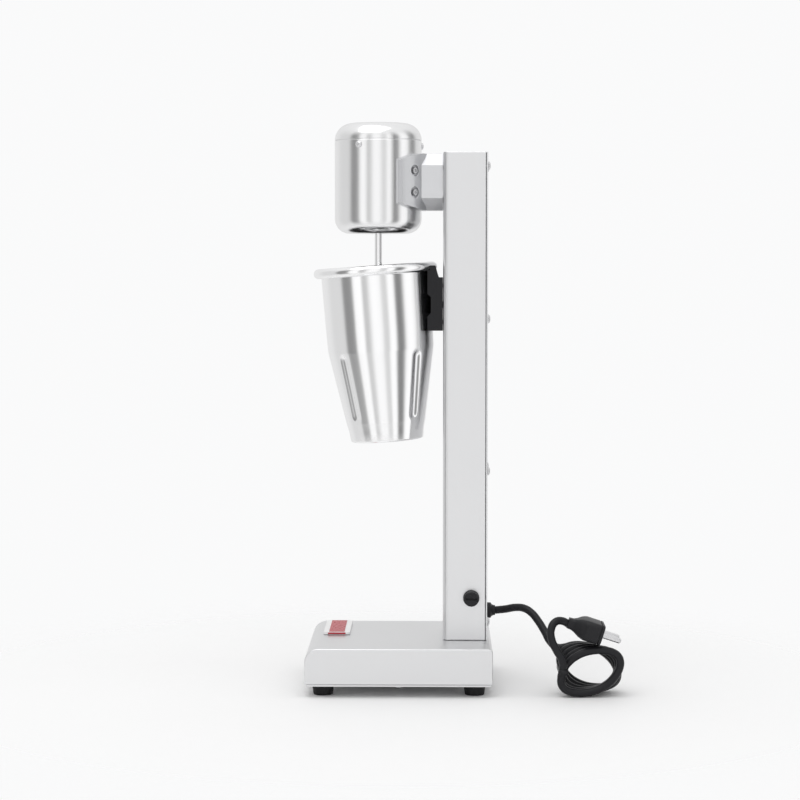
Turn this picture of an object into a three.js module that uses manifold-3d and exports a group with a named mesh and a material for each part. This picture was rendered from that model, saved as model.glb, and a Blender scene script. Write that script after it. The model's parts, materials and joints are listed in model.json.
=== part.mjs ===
// A single-spindle milkshake mixer: a steel base and column, a motor head on a cast bracket,
// a hooked-on steel cup, and a mains lead. Millimetres, +Z up, the front faces -Y.
// The origin is on the table, under the centre of the base.

import * as THREE from "three";
import { mergeVertices } from "three/addons/utils/BufferGeometryUtils.js";
import Module from "manifold-3d";

const wasm = await Module();
wasm.setup();

// ---------------------------------------------------------------- driving dimensions

const GAP = 0.3; // clearance between pieces that touch
const BIG_ROUND = 32; // facets on large round pieces
const MID_ROUND = 16;
const SMALL_ROUND = 8; // facets on screws and their holes

// Base box
const BASE_WIDTH = 160;
const BASE_DEPTH = 164;
const BASE_TOP = 43;
const BASE_EDGE = 11.6;
const BASE_SHEET = 1.5;
const FRONT_FOLD = 12;
const REAR_FOLD = 3;
const BASE_FLANGE = 30;
const PLATE_SHEET = 1.5;

// Feet
const FOOT_RADIUS = 9.75;
const FOOT_TOE_RADIUS = 8.55;
const FOOT_INSET_X = 20;
const FOOT_INSET_Y = 15.5;
const FOOT_RECESS = 4.2;
const FOOT_SCREW_RADIUS = 2.1;
const FOOT_SCREW_HEAD = 3.9;
const PLATE_SCREW_RADIUS = 2;
const PLATE_SCREW_INSET = 12;
const PLATE_SCREW_HEAD = 1.9;

// Column
const COLUMN_WIDTH = 64;
const COLUMN_DEPTH = 39.3;
const COLUMN_SETBACK = 3.9; // base rear edge to column rear face
const COLUMN_TOP = 476;
const COLUMN_SHEET = 1.5;
const COLUMN_FOLD = 3;
const COLUMN_FLANGE = 14; // width of the folded-in rear flanges
const COVER_SHEET = 1.3;
const COVER_SCREW_ROWS = 4;
const COVER_SCREW_FIRST = 58.8;
const COVER_SCREW_INSET = 7;
const COVER_SCREW_TOP_MARGIN = 12.2;
const COVER_SCREW_RADIUS = 1.9;
const COLUMN_SCREW_RADIUS = 2.4;
const COLUMN_SCREW_X = 20;

// Motor head, placed from the column
const MOTOR_REACH = 58.1; // column front face to motor axis
const MOTOR_RADIUS = 38.8;
const MOTOR_HEIGHT = 98;
const MOTOR_RISE = 26.5; // motor top above column top
const MOTOR_WALL = 1.6;
const CAP_HEIGHT = 15.5;
const MOTOR_BOTTOM_ROUND = 13;
const SKIRT_DEPTH = 9;
const CAP_SCREWS = 3;
const CAP_SCREW_RADIUS = 1.4;
const CAP_SCREW_HEAD = 3;
const CAP_SCREW_DROP = 4.6; // seam to screw centre
const CAP_SCREW_ANGLE = -24.7;

// Motor internals
const SHAFT_RADIUS = 4;
const BEARING_RADIUS = 11.5;
const BEARING_WIDTH = 7;
const BOSS_WALL = 1.8;
const STATOR_LENGTH = 32;
const STATOR_LIFT = 24; // motor underside to stator
const ROTOR_RADIUS = 18.5;
const ROTOR_AIR_GAP = 0.8;
const COIL_RADIUS = 14;
const COIL_LENGTH = 7;
const COMMUTATOR_RADIUS = 9.5;
const COMMUTATOR_LENGTH = 10;
const BRUSH_SIZE = 8;
const BRUSH_CLEAR = 6.2; // brush holder to the motor wall
const BRUSH_POST = 6;
const FAN_RADIUS = 17;
const FAN_BLADES = 8;

// Bracket
const BRACKET_HEIGHT = 50;
const BRACKET_DROP = 26; // column top to bracket centre
const NECK_WIDTH = 48;
const NECK_CHAMFER = 10.5;
const SADDLE_WALL = 6.6;
const SADDLE_HALF_ANGLE = 61;
const WING_HEIGHT = 35;
const POCKET_RADIUS = 5;
const POCKET_FLOOR = 3.1;
const BRACKET_SCREW_ANGLE = 43;
const BRACKET_SCREW_PITCH = 19.1;
const BRACKET_SCREW_RADIUS = 2;
const BRACKET_SCREW_HEAD = 3.5;
const BRACKET_BOLT_RADIUS = 3;
const BRACKET_BOLT_PITCH = 30;
const BRACKET_BOLT_LENGTH = 14;
const WIRE_HOLE_RADIUS = 4;

// Spindle and agitator
const SPINDLE_RADIUS = 3.25;
const SPINDLE_THREAD_RADIUS = 2.2;
const SPINDLE_THREAD = 9;
const AGITATOR_RADIUS = 14.5;
const AGITATOR_LIFT = 38; // cup floor to agitator
const AGITATOR_HUB_RADIUS = 5.5;
const AGITATOR_HUB = 8;

// Cup
const CUP_DROP = 28.4; // motor underside to rim top
const CUP_TILT = 4;
const CUP_HEIGHT = 157;
const CUP_WALL = 0.9;
const CUP_FOOT_RADIUS = 32;
const CUP_HEEL_RADIUS = 35.5;
const CUP_HEEL_HEIGHT = 17;
const CUP_BREAK_RADIUS = 47.4;
const CUP_BREAK_HEIGHT = 82;
const CUP_NECK_RADIUS = 48.8;
const RIM_RADIUS = 55;
const RIM_DEPTH = 7;
const RIM_CLEAR = 6; // rim to column

// Cup holder and switch
const HOLDER_WIDTH = 52;
const HOLDER_LOW = 57.8; // rim top to the holder's lower edge
const HOLDER_WRAP = 4.2; // how far the cradle reaches past the cup's rear wall
const HOLDER_ARM = 12.7;
const HOLDER_RECESS = 3;
const HOLDER_RECESS_HEIGHT = 20;
const HOLDER_STEP = 10.6; // rim top to the step behind the hook
const HOOK_WIDTH = 3.6;
const HOLDER_SCREW_RADIUS = 2;
const HOLDER_SCREW_GRIP = 4.5;
const PLUNGER_RADIUS = 3;
const PLUNGER_COLLAR_RADIUS = 4.6;
const PLUNGER_TRAVEL = 3;
const SWITCH_WIDTH = 20;
const SWITCH_DEPTH = 14;
const SWITCH_HEIGHT = 20;

// Fuse holder
const FUSE_Z = 81;
const FUSE_INSET = 14.2; // column rear face to fuse centre
const FUSE_FLANGE_RADIUS = 7.25;
const FUSE_BODY_RADIUS = 6;
const FUSE_BODY_LENGTH = 24;
const FUSE_CAP_RADIUS = 6.8;
const FUSE_CAP_LENGTH = 6.4;
const FUSE_STEM_RADIUS = 3.5;
const FUSE_STEM_LENGTH = 12;

// Badge
const BADGE_WIDTH = 70;
const BADGE_DEPTH = 24;
const BADGE_THICKNESS = 2.5;
const BADGE_CENTRE_X = -31.8;
const BADGE_SETBACK = 13; // base front edge to badge

// Mains lead
const GLAND_Z = 65.5;
const GLAND_RADIUS = 7;
const GLAND_FLANGE = 4.2;
const GLAND_THREAD_RADIUS = 6;
const GLAND_THREAD = 9;
const GLAND_NOSE = 3.4;
const CORD_RADIUS = 3.45;
const CORD_SIDES = 8;
const CORD_STEPS = 24;
const PLUG_WIDTH = 36;
const PLUG_HEIGHT = 18;
const PLUG_LENGTH = 25;
const PLUG_PIN_RADIUS = 2.4;
const PLUG_PIN_LENGTH = 17;
const PLUG_PIN_PITCH = 19;
const PLUG_SLOPE = 18; // degrees that the pins point downward
const HANK_RADIUS = 22;
const HANK_STRAIGHT = 12;
const HANK_THICKNESS = 44;
const HANK_BOTTOM = 0.5;
const HANK_X = 57.5;
const HANK_BEHIND = 85.5; // base rear edge to hank centre
const PLUG_X = 61;
const PLUG_BEHIND = 83.8; // base rear edge to plug centre

// ---------------------------------------------------------------- places worked out from them

const BASE_REAR = BASE_DEPTH / 2;
const PLATE_TOP = BASE_EDGE - GAP;
const PLATE_BOTTOM = PLATE_TOP - PLATE_SHEET;
const FOOT_TOP = PLATE_BOTTOM - GAP;
const FOOT_X = BASE_WIDTH / 2 - FOOT_INSET_X;
const FOOT_Y = BASE_DEPTH / 2 - FOOT_INSET_Y;
const PLATE_SCREW_X = BASE_WIDTH / 2 - PLATE_SCREW_INSET;

const COLUMN_REAR = BASE_REAR - COLUMN_SETBACK;
const COLUMN_FRONT = COLUMN_REAR - COLUMN_DEPTH;
const COLUMN_BOTTOM = BASE_TOP + GAP;
const SHELL_REAR = COLUMN_REAR - COVER_SHEET - GAP;
const COLUMN_INNER_FRONT = COLUMN_FRONT + COLUMN_SHEET;
const COLUMN_MIDDLE_Y = (COLUMN_FRONT + SHELL_REAR) / 2;
const COVER_SCREW_X = COLUMN_WIDTH / 2 - COVER_SCREW_INSET;
const COVER_SCREW_LAST = COLUMN_TOP - COVER_SCREW_TOP_MARGIN;

const MOTOR_Y = COLUMN_FRONT - MOTOR_REACH;
const MOTOR_TOP = COLUMN_TOP + MOTOR_RISE;
const MOTOR_BOTTOM = MOTOR_TOP - MOTOR_HEIGHT;
const SEAM_Z = MOTOR_TOP - CAP_HEIGHT;
const MOTOR_BORE = MOTOR_RADIUS - MOTOR_WALL;
const SKIRT_RADIUS = MOTOR_BORE - GAP;
const CAP_SCREW_Z = SEAM_Z - CAP_SCREW_DROP;
const BRACKET_Z = COLUMN_TOP - BRACKET_DROP;
const STATOR_Z = MOTOR_BOTTOM + STATOR_LIFT;
const STATOR_TOP = STATOR_Z + STATOR_LENGTH;

const SHAFT_BOTTOM = MOTOR_BOTTOM + 2.5;
const SHAFT_TOP = MOTOR_TOP - MOTOR_WALL - 3;
const SHAFT_BORE = SHAFT_RADIUS + GAP;
const LOWER_BEARING_Z = MOTOR_BOTTOM + MOTOR_WALL + 2.2;
const UPPER_BEARING_Z = SHAFT_TOP - BEARING_WIDTH;
const BOSS_RADIUS = BEARING_RADIUS + GAP + BOSS_WALL;

const CUP_TOP = MOTOR_BOTTOM - CUP_DROP;
const CUP_RIM_Y = COLUMN_FRONT - RIM_CLEAR - RIM_RADIUS;
const TILT = THREE.MathUtils.degToRad(CUP_TILT);
const CUP_Y = CUP_RIM_Y + CUP_HEIGHT * Math.sin(TILT);
const CUP_Z = CUP_TOP - CUP_HEIGHT * Math.cos(TILT);
const AGITATOR_Z = CUP_Z + AGITATOR_LIFT;

const HOLDER_BOTTOM = CUP_TOP - HOLDER_LOW;
const HOLDER_REAR = COLUMN_FRONT - GAP;
const HOLDER_FRONT = cupRearAt(HOLDER_BOTTOM + HOLDER_ARM) - HOLDER_WRAP;
const SWITCH_Z = HOLDER_BOTTOM + HOLDER_ARM + HOLDER_RECESS_HEIGHT / 2;
const PLUNGER_COLLAR_Y = COLUMN_INNER_FRONT + PLUNGER_TRAVEL + 1;
const SWITCH_FRONT = PLUNGER_COLLAR_Y + 4;

const FUSE_Y = COLUMN_REAR - FUSE_INSET;
const COLUMN_SIDE = COLUMN_WIDTH / 2;
const BADGE_Y = -BASE_DEPTH / 2 + BADGE_SETBACK + BADGE_DEPTH / 2;
const GLAND_END = COLUMN_REAR + GAP + GLAND_FLANGE + GLAND_NOSE;
const SLOPE = THREE.MathUtils.degToRad(PLUG_SLOPE);
const HANK_Z = HANK_BOTTOM + HANK_RADIUS;
const PLUG_SINK = (PLUG_LENGTH * Math.sin(SLOPE) + PLUG_HEIGHT * Math.cos(SLOPE)) / 2;
const PLUG_Z = HANK_Z + HANK_RADIUS + GAP + PLUG_SINK;

// Height of the cup's axis point at a given height of the row frame, and the rear wall there.
function cupRearAt(z) {
  const along = (z - CUP_Z) / Math.cos(TILT);
  const share = (along - CUP_BREAK_HEIGHT) / (CUP_HEIGHT - RIM_DEPTH - CUP_BREAK_HEIGHT);
  const radius = CUP_BREAK_RADIUS + (CUP_NECK_RADIUS - CUP_BREAK_RADIUS) * share;
  return CUP_Y - along * Math.sin(TILT) + radius;
}

// ---------------------------------------------------------------- solids

// Merged vertices, no empty triangles, faces pointing out.
function closed(geometry) {
  const bare = new THREE.BufferGeometry();
  bare.setAttribute("position", geometry.getAttribute("position").clone());
  if (geometry.index) {
    bare.setIndex(geometry.index.clone());
  }
  const merged = mergeVertices(bare, 1e-4);
  const place = merged.getAttribute("position");
  const corners = [];
  const a = new THREE.Vector3();
  const b = new THREE.Vector3();
  const c = new THREE.Vector3();
  let volume = 0;
  for (let i = 0; i < merged.index.count; i += 3) {
    const three = [0, 1, 2].map((k) => merged.index.getX(i + k));
    if (three[0] === three[1] || three[1] === three[2] || three[2] === three[0]) {
      continue;
    }
    corners.push(...three);
    a.fromBufferAttribute(place, three[0]);
    b.fromBufferAttribute(place, three[1]);
    c.fromBufferAttribute(place, three[2]);
    volume += a.dot(b.cross(c));
  }
  merged.setIndex(volume < 0 ? corners.reverse() : corners);
  return merged;
}

function toManifold(geometry) {
  const whole = closed(geometry);
  return new wasm.Manifold(
    new wasm.Mesh({
      numProp: 3,
      vertProperties: new Float32Array(whole.getAttribute("position").array),
      triVerts: new Uint32Array(whole.index.array),
    }),
  );
}

function fromManifold(manifold) {
  const mesh = manifold.getMesh();
  const geometry = new THREE.BufferGeometry();
  geometry.setAttribute("position", new THREE.BufferAttribute(mesh.vertProperties, 3));
  geometry.setIndex(new THREE.BufferAttribute(mesh.triVerts, 1));
  return geometry;
}

function combine(first, others, how) {
  let result = toManifold(first);
  for (const other of others) {
    result = result[how](toManifold(other));
  }
  return fromManifold(result);
}

const cut = (first, ...others) => combine(first, others, "subtract");
const join = (first, ...others) => combine(first, others, "add");
const common = (first, ...others) => combine(first, others, "intersect");

// A box between two corners.
function box(x0, x1, y0, y1, z0, z1) {
  const geometry = new THREE.BoxGeometry(x1 - x0, y1 - y0, z1 - z0);
  return geometry.translate((x0 + x1) / 2, (y0 + y1) / 2, (z0 + z1) / 2);
}

// A round solid about +Z from [radius, height] pairs; a profile off the axis is a ring.
function turned(profile, facets) {
  const points = profile.map(([radius, height]) => new THREE.Vector2(radius, height));
  if (profile.every(([radius]) => radius > 0)) {
    points.push(points[0].clone());
  }
  return new THREE.LatheGeometry(points, facets).rotateX(Math.PI / 2);
}

function rod(radius, z0, z1, facets) {
  return turned([[0, z0], [radius, z0], [radius, z1], [0, z1]], facets);
}

function ring(inner, outer, z0, z1, facets) {
  return turned([[inner, z0], [outer, z0], [outer, z1], [inner, z1]], facets);
}

// Points of an arc for a profile, angles in degrees.
function arc(centreR, centreZ, radius, from, to, steps) {
  return Array.from({ length: steps + 1 }, (_, i) => {
    const angle = THREE.MathUtils.degToRad(from + ((to - from) * i) / steps);
    return [centreR + radius * Math.cos(angle), centreZ + radius * Math.sin(angle)];
  });
}

// Turn a solid about +Z so that it lies along another axis.
const alongX = (geometry) => geometry.rotateY(Math.PI / 2);
const alongY = (geometry) => geometry.rotateX(-Math.PI / 2);

// A side outline in (Y, Z), as thick as `width` and centred on X = 0.
function sideSlab(shape, width) {
  const geometry = new THREE.ExtrudeGeometry(shape, { depth: width, bevelEnabled: false, curveSegments: 5 });
  geometry.translate(0, 0, -width / 2);
  const turn = new THREE.Matrix4().makeBasis(
    new THREE.Vector3(0, 1, 0),
    new THREE.Vector3(0, 0, 1),
    new THREE.Vector3(1, 0, 0),
  );
  return geometry.applyMatrix4(turn);
}

// A front outline in (X, Z), reaching from y0 to y1.
function frontSlab(shape, y0, y1) {
  const geometry = new THREE.ExtrudeGeometry(shape, {
    depth: y1 - y0,
    bevelEnabled: false,
    curveSegments: 5,
  });
  return geometry.rotateX(Math.PI / 2).translate(0, y1, 0);
}

function polygon(points) {
  return new THREE.Shape(points.map(([x, y]) => new THREE.Vector2(x, y)));
}

// A rectangle with four corner radii: lower left, lower right, upper right, upper left.
function roundedRectangle(x0, x1, y0, y1, radii) {
  const [r0, r1, r2, r3] = radii;
  const shape = new THREE.Shape();
  shape.moveTo(x0 + r0, y0);
  shape.lineTo(x1 - r1, y0);
  if (r1 > 0) shape.absarc(x1 - r1, y0 + r1, r1, -Math.PI / 2, 0);
  shape.lineTo(x1, y1 - r2);
  if (r2 > 0) shape.absarc(x1 - r2, y1 - r2, r2, 0, Math.PI / 2);
  shape.lineTo(x0 + r3, y1);
  if (r3 > 0) shape.absarc(x0 + r3, y1 - r3, r3, Math.PI / 2, Math.PI);
  shape.lineTo(x0, y0 + r0);
  if (r0 > 0) shape.absarc(x0 + r0, y0 + r0, r0, Math.PI, Math.PI * 1.5);
  return shape;
}

// A screw about +Z: the shank runs from the tip up to the head's seat at height 0.
function screw(shankRadius, shankLength, headRadius, headHeight) {
  return turned(
    [
      [0, -shankLength],
      [shankRadius, -shankLength],
      [shankRadius, 0],
      [headRadius, 0],
      [headRadius * 0.8, headHeight],
      [0, headHeight],
    ],
    SMALL_ROUND,
  );
}

// ---------------------------------------------------------------- materials and scene

const STEEL = { color: 0xc9cacc, roughness: 0.34, metalness: 1 };
const CAST = { color: 0xcfd0d2, roughness: 0.5, metalness: 0.9 };
const BLACK = { color: 0x262628, roughness: 0.55, metalness: 0 };
const RUBBER = { color: 0x1c1c1e, roughness: 0.8, metalness: 0 };
const SCREW = { color: 0xb4b5b8, roughness: 0.4, metalness: 1 };
const IRON = { color: 0x6d6e72, roughness: 0.6, metalness: 0.8 };
const COPPER = { color: 0xb06a3b, roughness: 0.4, metalness: 1 };
const CARBON = { color: 0x2f2f31, roughness: 0.8, metalness: 0.1 };
const RED = { color: 0xbe142d, roughness: 0.5, metalness: 0 };

const mixer = new THREE.Group();
const motor = new THREE.Group();
motor.position.y = MOTOR_Y;
mixer.add(motor);

function piece(name, geometry, look, parent = mixer) {
  const mesh = new THREE.Mesh(closed(geometry), new THREE.MeshStandardMaterial(look));
  mesh.name = name;
  parent.add(mesh);
  return mesh;
}

// ---------------------------------------------------------------- base

const plateScrewPlaces = [-PLATE_SCREW_X, PLATE_SCREW_X].map((x) => [x, 0]);
const footPlaces = [];
for (const [endName, y] of [["front", -FOOT_Y], ["rear", FOOT_Y]]) {
  for (const [sideName, x] of [["left", -FOOT_X], ["right", FOOT_X]]) {
    footPlaces.push([`${endName}_${sideName}`, x, y]);
  }
}
const columnScrewPlaces = [["left", -COLUMN_SCREW_X], ["right", COLUMN_SCREW_X]];

function lowerHoles(z0, z1) {
  const holes = [];
  for (const [, x, y] of footPlaces) {
    holes.push(rod(FOOT_SCREW_RADIUS + GAP, z0, z1, SMALL_ROUND).translate(x, y, 0));
  }
  for (const [x, y] of plateScrewPlaces) {
    holes.push(rod(PLATE_SCREW_RADIUS + GAP, z0, z1, SMALL_ROUND).translate(x, y, 0));
  }
  return holes;
}

function baseShell() {
  const half = BASE_DEPTH / 2;
  const outer = roundedRectangle(-half, half, BASE_EDGE, BASE_TOP, [0, 0, REAR_FOLD, FRONT_FOLD]);
  const inner = roundedRectangle(
    -half + BASE_SHEET,
    half - BASE_SHEET,
    BASE_EDGE + BASE_SHEET,
    BASE_TOP - BASE_SHEET,
    [0, 0, REAR_FOLD - BASE_SHEET, FRONT_FOLD - BASE_SHEET],
  );
  const mouthX = BASE_WIDTH / 2 - BASE_FLANGE;
  const mouthY = half - BASE_SHEET;
  const screwHoles = columnScrewPlaces.map(([, x]) =>
    rod(COLUMN_SCREW_RADIUS + GAP, BASE_TOP - 3 * BASE_SHEET, BASE_TOP + 1, SMALL_ROUND)
      .translate(x, COLUMN_MIDDLE_Y, 0),
  );
  return cut(
    sideSlab(outer, BASE_WIDTH),
    sideSlab(inner, BASE_WIDTH - 2 * BASE_SHEET),
    box(-mouthX, mouthX, -mouthY, mouthY, BASE_EDGE - 1, BASE_EDGE + 2 * BASE_SHEET),
    ...lowerHoles(BASE_EDGE - 1, BASE_EDGE + 2 * BASE_SHEET),
    ...screwHoles,
  );
}

function bottomPlate() {
  const x = BASE_WIDTH / 2 - BASE_SHEET;
  const y = BASE_DEPTH / 2 - BASE_SHEET;
  return cut(
    box(-x, x, -y, y, PLATE_BOTTOM, PLATE_TOP),
    ...lowerHoles(PLATE_BOTTOM - 1, PLATE_TOP + 1),
  );
}

function foot() {
  return turned(
    [
      [FOOT_SCREW_RADIUS + GAP, FOOT_TOP],
      [FOOT_RADIUS, FOOT_TOP],
      [FOOT_TOE_RADIUS, 1],
      [FOOT_TOE_RADIUS - 1, 0],
      [FOOT_SCREW_HEAD + 1, 0],
      [FOOT_SCREW_HEAD + 1, FOOT_RECESS],
      [FOOT_SCREW_RADIUS + GAP, FOOT_RECESS],
    ],
    MID_ROUND,
  );
}

piece("base_shell", baseShell(), STEEL);
piece("base_bottom_plate", bottomPlate(), STEEL);
for (const [place, x, y] of footPlaces) {
  piece(`foot_${place}`, foot(), RUBBER).position.set(x, y, 0);
  const grip = BASE_EDGE + 3 - FOOT_RECESS;
  const footScrew = screw(FOOT_SCREW_RADIUS, grip, FOOT_SCREW_HEAD, 2).rotateX(Math.PI);
  piece(`foot_screw_${place}`, footScrew, SCREW).position.set(x, y, FOOT_RECESS - GAP);
}
plateScrewPlaces.forEach(([x, y], i) => {
  const plateScrew = screw(PLATE_SCREW_RADIUS, 7, 3.5, PLATE_SCREW_HEAD).rotateX(Math.PI);
  piece(`plate_screw_${["left", "right"][i]}`, plateScrew, SCREW).position.set(x, y, FOOT_TOP);
});

const badge = roundedRectangle(
  -BADGE_WIDTH / 2,
  BADGE_WIDTH / 2,
  -BADGE_DEPTH / 2,
  BADGE_DEPTH / 2,
  [2, 2, 2, 2],
);
const badgeBody = new THREE.ExtrudeGeometry(badge, {
  depth: BADGE_THICKNESS,
  bevelEnabled: false,
  curveSegments: 3,
});
piece("badge_plate", badgeBody, RED).position.set(BADGE_CENTRE_X, BADGE_Y, BASE_TOP + GAP);

// ---------------------------------------------------------------- column

const coverScrewPlaces = [];
for (let row = 0; row < COVER_SCREW_ROWS; row += 1) {
  const share = row / (COVER_SCREW_ROWS - 1);
  const z = COVER_SCREW_FIRST + (COVER_SCREW_LAST - COVER_SCREW_FIRST) * share;
  coverScrewPlaces.push([`${row + 1}_left`, -COVER_SCREW_X, z]);
  coverScrewPlaces.push([`${row + 1}_right`, COVER_SCREW_X, z]);
}

function coverHoles(y0, y1) {
  return coverScrewPlaces.map(([, x, z]) =>
    alongY(rod(COVER_SCREW_RADIUS + GAP, y0, y1, SMALL_ROUND)).translate(x, 0, z),
  );
}

// Hole through the column's front wall, the cup holder or the bracket.
function frontHole(radius, x, z, y0, y1) {
  return alongY(rod(radius, y0, y1, MID_ROUND)).translate(x, 0, z);
}

const bracketBoltHeights = [-1, 1].map((side) => BRACKET_Z + (side * BRACKET_BOLT_PITCH) / 2);
const holderScrewHeights = [HOLDER_BOTTOM + 7, CUP_TOP - HOLDER_STEP - 7.5];

function columnShell() {
  const half = COLUMN_WIDTH / 2;
  const plan = roundedRectangle(-half, half, COLUMN_FRONT, SHELL_REAR, [COLUMN_FOLD, COLUMN_FOLD, 0, 0]);
  const tower = new THREE.ExtrudeGeometry(plan, {
    depth: COLUMN_TOP - COLUMN_BOTTOM,
    bevelEnabled: false,
    curveSegments: 5,
  }).translate(0, 0, COLUMN_BOTTOM);
  const side = roundedRectangle(COLUMN_FRONT, SHELL_REAR, COLUMN_BOTTOM, COLUMN_TOP, [0, 0, 0, COLUMN_FOLD]);
  const inside = half - COLUMN_SHEET;
  const window = half - COLUMN_FLANGE;
  const through = [COLUMN_FRONT - 1, COLUMN_INNER_FRONT + 1];
  return cut(
    common(tower, sideSlab(side, COLUMN_WIDTH)),
    box(
      -inside,
      inside,
      COLUMN_INNER_FRONT,
      SHELL_REAR - COLUMN_SHEET,
      COLUMN_BOTTOM + COLUMN_SHEET,
      COLUMN_TOP - COLUMN_SHEET,
    ),
    box(
      -window,
      window,
      SHELL_REAR - 2 * COLUMN_SHEET,
      SHELL_REAR + 1,
      COLUMN_BOTTOM + COLUMN_FLANGE / 2,
      COLUMN_TOP - COLUMN_FLANGE / 2,
    ),
    ...coverHoles(SHELL_REAR - 2 * COLUMN_SHEET, SHELL_REAR + 1),
    ...bracketBoltHeights.map((z) => frontHole(BRACKET_BOLT_RADIUS + GAP, 0, z, ...through)),
    ...holderScrewHeights.map((z) => frontHole(HOLDER_SCREW_RADIUS + GAP, 0, z, ...through)),
    frontHole(WIRE_HOLE_RADIUS, 0, BRACKET_Z, ...through),
    frontHole(PLUNGER_RADIUS + 2 * GAP, 0, SWITCH_Z, ...through),
    alongX(rod(FUSE_BODY_RADIUS + GAP, inside - 1, half + 1, MID_ROUND)).translate(0, FUSE_Y, FUSE_Z),
    ...columnScrewPlaces.map(([, x]) =>
      rod(COLUMN_SCREW_RADIUS + GAP, COLUMN_BOTTOM - 1, COLUMN_BOTTOM + 2 * COLUMN_SHEET, SMALL_ROUND)
        .translate(x, COLUMN_MIDDLE_Y, 0),
    ),
  );
}

function rearCover() {
  const half = COLUMN_WIDTH / 2;
  const y0 = COLUMN_REAR - COVER_SHEET;
  return cut(
    frontSlab(
      roundedRectangle(-half, half, COLUMN_BOTTOM, COLUMN_TOP, [1, 1, 1, 1]),
      y0,
      COLUMN_REAR,
    ),
    ...coverHoles(y0 - 1, COLUMN_REAR + 1),
    frontHole(GLAND_THREAD_RADIUS + GAP, 0, GLAND_Z, y0 - 1, COLUMN_REAR + 1),
  );
}

piece("column_shell", columnShell(), STEEL);
piece("column_rear_cover", rearCover(), STEEL);
for (const [place, x, z] of coverScrewPlaces) {
  const coverScrew = alongY(screw(COVER_SCREW_RADIUS, 7, 4, 2.2));
  piece(`cover_screw_${place}`, coverScrew, SCREW).position.set(x, COLUMN_REAR + GAP, z);
}
for (const [side, x] of columnScrewPlaces) {
  const columnScrew = screw(COLUMN_SCREW_RADIUS, 9, 4.5, 2.5).rotateX(Math.PI);
  const seat = BASE_TOP - BASE_SHEET - GAP;
  piece(`column_screw_${side}`, columnScrew, SCREW).position.set(x, COLUMN_MIDDLE_Y, seat);
}

// ---------------------------------------------------------------- bracket

const bracketScrewPlaces = [];
for (const [sideName, side] of [["left", 1], ["right", -1]]) {
  for (const [level, step] of [["lower", -0.5], ["upper", 0.5]]) {
    const angle = 90 + side * BRACKET_SCREW_ANGLE;
    bracketScrewPlaces.push([`${sideName}_${level}`, angle, BRACKET_Z + step * BRACKET_SCREW_PITCH]);
  }
}

// A solid about +Z laid radially about the motor axis, at an angle from +X and a height.
function radial(geometry, angle, z) {
  return alongX(geometry).rotateZ(THREE.MathUtils.degToRad(angle)).translate(0, 0, z);
}

// The bracket, in the motor's own frame with the axis at X = Y = 0.
function motorBracket() {
  const bore = MOTOR_RADIUS + GAP;
  const outside = bore + SADDLE_WALL;
  const rear = MOTOR_REACH - GAP;
  const half = BRACKET_HEIGHT / 2;
  const reach = outside + 10;
  const spread = THREE.MathUtils.degToRad(SADDLE_HALF_ANGLE);
  const wedge = polygon([
    [0, 0],
    [reach * Math.sin(spread), reach * Math.cos(spread)],
    [reach * Math.sin(spread), reach * 1.5],
    [-reach * Math.sin(spread), reach * 1.5],
    [-reach * Math.sin(spread), reach * Math.cos(spread)],
  ]);
  const wedgeSolid = new THREE.ExtrudeGeometry(wedge, {
    depth: BRACKET_HEIGHT,
    bevelEnabled: false,
  }).translate(0, 0, BRACKET_Z - half);
  const saddle = common(
    ring(bore, outside, BRACKET_Z - half, BRACKET_Z + half, BIG_ROUND),
    wedgeSolid,
  );
  const flat = half - NECK_CHAMFER;
  const wide = NECK_WIDTH / 2;
  const section = polygon([
    [-wide, BRACKET_Z - flat],
    [-wide + NECK_CHAMFER, BRACKET_Z - half],
    [wide - NECK_CHAMFER, BRACKET_Z - half],
    [wide, BRACKET_Z - flat],
    [wide, BRACKET_Z + flat],
    [wide - NECK_CHAMFER, BRACKET_Z + half],
    [-wide + NECK_CHAMFER, BRACKET_Z + half],
    [-wide, BRACKET_Z + flat],
  ]);
  const neckFront = bore * 0.8;
  const neck = cut(
    frontSlab(section, neckFront, rear),
    rod(bore, BRACKET_Z - half - 1, BRACKET_Z + half + 1, BIG_ROUND),
  );
  const wingTip = bore * Math.cos(spread) - 4;
  const wing = WING_HEIGHT / 2;
  const wingProfile = polygon([
    [wingTip, BRACKET_Z - wing],
    [outside * 0.87, BRACKET_Z - half],
    [rear + 1, BRACKET_Z - half],
    [rear + 1, BRACKET_Z + half],
    [outside * 0.87, BRACKET_Z + half],
    [wingTip, BRACKET_Z + wing],
  ]);
  const body = common(join(saddle, neck), sideSlab(wingProfile, 3 * outside));
  const floor = bore + POCKET_FLOOR;
  const pockets = bracketScrewPlaces.flatMap(([, angle, z]) => [
    radial(rod(POCKET_RADIUS, floor, outside + 4, MID_ROUND), angle, z),
    radial(rod(BRACKET_SCREW_RADIUS + GAP, bore - 1, floor + 1, SMALL_ROUND), angle, z),
  ]);
  return cut(
    body,
    ...pockets,
    ...bracketBoltHeights.map((z) =>
      frontHole(BRACKET_BOLT_RADIUS + GAP, 0, z, rear - BRACKET_BOLT_LENGTH, rear + 1),
    ),
    frontHole(WIRE_HOLE_RADIUS, 0, BRACKET_Z, bore - 2, rear + 1),
  );
}

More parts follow.
